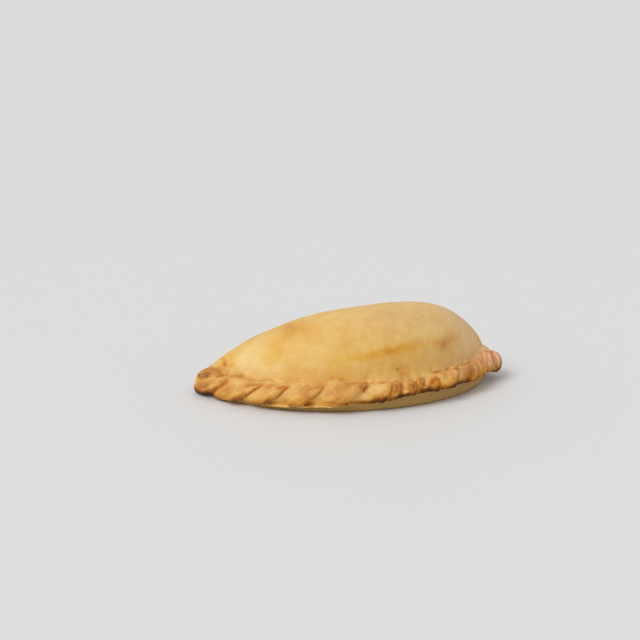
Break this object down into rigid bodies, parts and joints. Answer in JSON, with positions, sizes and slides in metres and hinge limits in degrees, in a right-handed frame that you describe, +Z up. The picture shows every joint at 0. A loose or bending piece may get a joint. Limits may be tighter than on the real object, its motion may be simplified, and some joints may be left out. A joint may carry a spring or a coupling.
{
  "type": "empanada",
  "caption": "Half-moon baked turnover with a domed golden crust, closed along its curved edge by a hand-folded braid.",
  "frame": {"origin": "middle of the flat base, on the surface that it stands on", "axes": "+X from tip to tip, towards the blunter and taller end; the braid faces -Y and the folded back +Y; +Z up"},
  "size_m": [0.1514, 0.0629, 0.0409],
  "materials": {
    "crust": "matte baked pastry: pale cream to golden on the dome, brown on the braid's edges and tips"
  },
  "bodies": {
    "root": {"empanada": "crust"}
  },
  "joints": []
}
